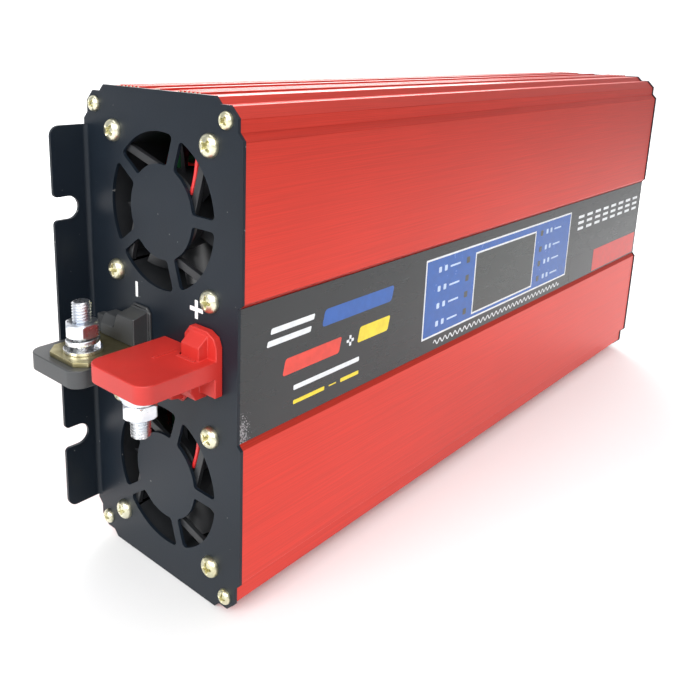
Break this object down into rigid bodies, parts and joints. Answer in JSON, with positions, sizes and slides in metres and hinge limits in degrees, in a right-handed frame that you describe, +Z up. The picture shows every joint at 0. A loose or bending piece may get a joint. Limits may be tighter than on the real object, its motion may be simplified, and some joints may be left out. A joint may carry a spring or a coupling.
{
  "type": "power inverter",
  "caption": "Extruded case with a fan-cooled battery end, opposed stud terminals, a display strip, flanged end plates and a mains socket end.",
  "frame": {"origin": "middle of the narrow lower face, on the surface that the case stands on", "axes": "+X along the case towards the mains end, -Y out of the label face, +Y out of the mounting side, +Z up"},
  "size_m": [0.4796, 0.099, 0.215],
  "materials": {
    "red_anodised": "brushed red anodised extrusion",
    "black_plate": "satin black powder coat",
    "yellow_zinc": "pale yellow zinc",
    "label_film": "glossy dark film",
    "window": "tinted clear acrylic",
    "lcd": "reflective liquid crystal",
    "circuit_board": "green solder mask",
    "lamp": "moulded epoxy",
    "steel": "bright zinc",
    "fan_black": "moulded glass-filled plastic",
    "copper_coil": "enamelled copper",
    "red_lead": "glossy insulation",
    "black_nylon": "moulded nylon",
    "red_nylon": "moulded nylon",
    "bus_brass": "dull brass",
    "bright_zinc": "bright zinc",
    "copper_strap": "bare copper",
    "brass_fitting": "bare brass",
    "dark_sleeve": "shrink sleeve",
    "ferrite": "ground ferrite",
    "fuse_yellow": "clear moulded body",
    "epoxy": "moulded epoxy",
    "thermal_pad": "silicone sheet",
    "bare_aluminium": "mill finish",
    "relay_blue": "moulded cover",
    "fitting_black": "moulded polycarbonate",
    "rocker_red": "moulded polycarbonate",
    "button_white": "moulded polycarbonate"
  },
  "bodies": {
    "case": {"front_shell": "red_anodised", "rear_shell": "red_anodised", "dc_end_plate": "black_plate", "ac_end_plate": "black_plate", "plate_screws": "yellow_zinc", "label_overlay": "label_film", "display_window": "window", "lcd_module": "lcd", "display_board": "circuit_board", "indicator_lamps": "lamp", "display_posts": "steel", "fan_frame_upper": "fan_black", "fan_frame_lower": "fan_black", "fan_stators": "copper_coil", "fan_screws": "yellow_zinc", "fan_leads": "red_lead", "terminal_insulator_negative": "black_nylon", "terminal_insulator_positive": "red_nylon", "terminal_bar_negative": "bus_brass", "terminal_bar_positive": "bus_brass", "terminal_stud_negative": "bright_zinc", "terminal_stud_positive": "bright_zinc", "terminal_flat_washers": "bright_zinc", "terminal_spring_washers": "bright_zinc", "terminal_nuts": "bright_zinc", "negative_riser": "copper_strap", "positive_riser": "copper_strap", "bar_screws": "steel", "main_board": "circuit_board", "board_posts": "brass_fitting", "board_screws": "steel", "post_screws": "yellow_zinc", "input_capacitors": "dark_sleeve", "bus_capacitors": "dark_sleeve", "transformer_cores": "ferrite", "transformer_windings": "copper_coil", "choke_core": "ferrite", "choke_winding": "copper_coil", "blade_fuses": "fuse_yellow", "mosfets_upper": "epoxy", "mosfets_lower": "epoxy", "insulating_strips": "thermal_pad", "clamp_bars": "bare_aluminium", "clamp_screws": "steel", "driver_board": "circuit_board", "relays": "relay_blue", "outlet_lower": "fitting_black", "outlet_upper": "fitting_black", "outlet_contacts": "brass_fitting", "charger_inlet": "fitting_black", "inlet_pins": "brass_fitting", "switch_housing": "fitting_black", "breaker_body": "fitting_black", "earth_stud": "steel", "earth_nut": "steel", "outlet_screws": "steel"},
    "fan_rotor_upper": {"fan_rotor_upper": "fan_black"},
    "fan_rotor_lower": {"fan_rotor_lower": "fan_black"},
    "power_rocker": {"power_rocker": "rocker_red"},
    "reset_button": {"reset_button": "button_white"}
  },
  "joints": [
    {"name": "fan_spin_upper", "type": "hinge", "parent": "case", "child": "fan_rotor_upper", "pos_m": [-0.2, -0.0022, 0.1663], "axis": [1, 0, 0], "continuous": true},
    {"name": "fan_spin_lower", "type": "hinge", "parent": "case", "child": "fan_rotor_lower", "pos_m": [-0.2, -0.0022, 0.0487], "axis": [1, 0, 0], "continuous": true},
    {"name": "rocker_tilt", "type": "hinge", "parent": "case", "child": "power_rocker", "pos_m": [0.2086, -0.022, 0.1775], "axis": [0, -1, 0], "range_deg": [0, 20]},
    {"name": "reset_press", "type": "slide", "parent": "case", "child": "reset_button", "axis": [-1, 0, 0], "range_m": [0, 0.003], "stiffness_N_per_m": 800}
  ]
}
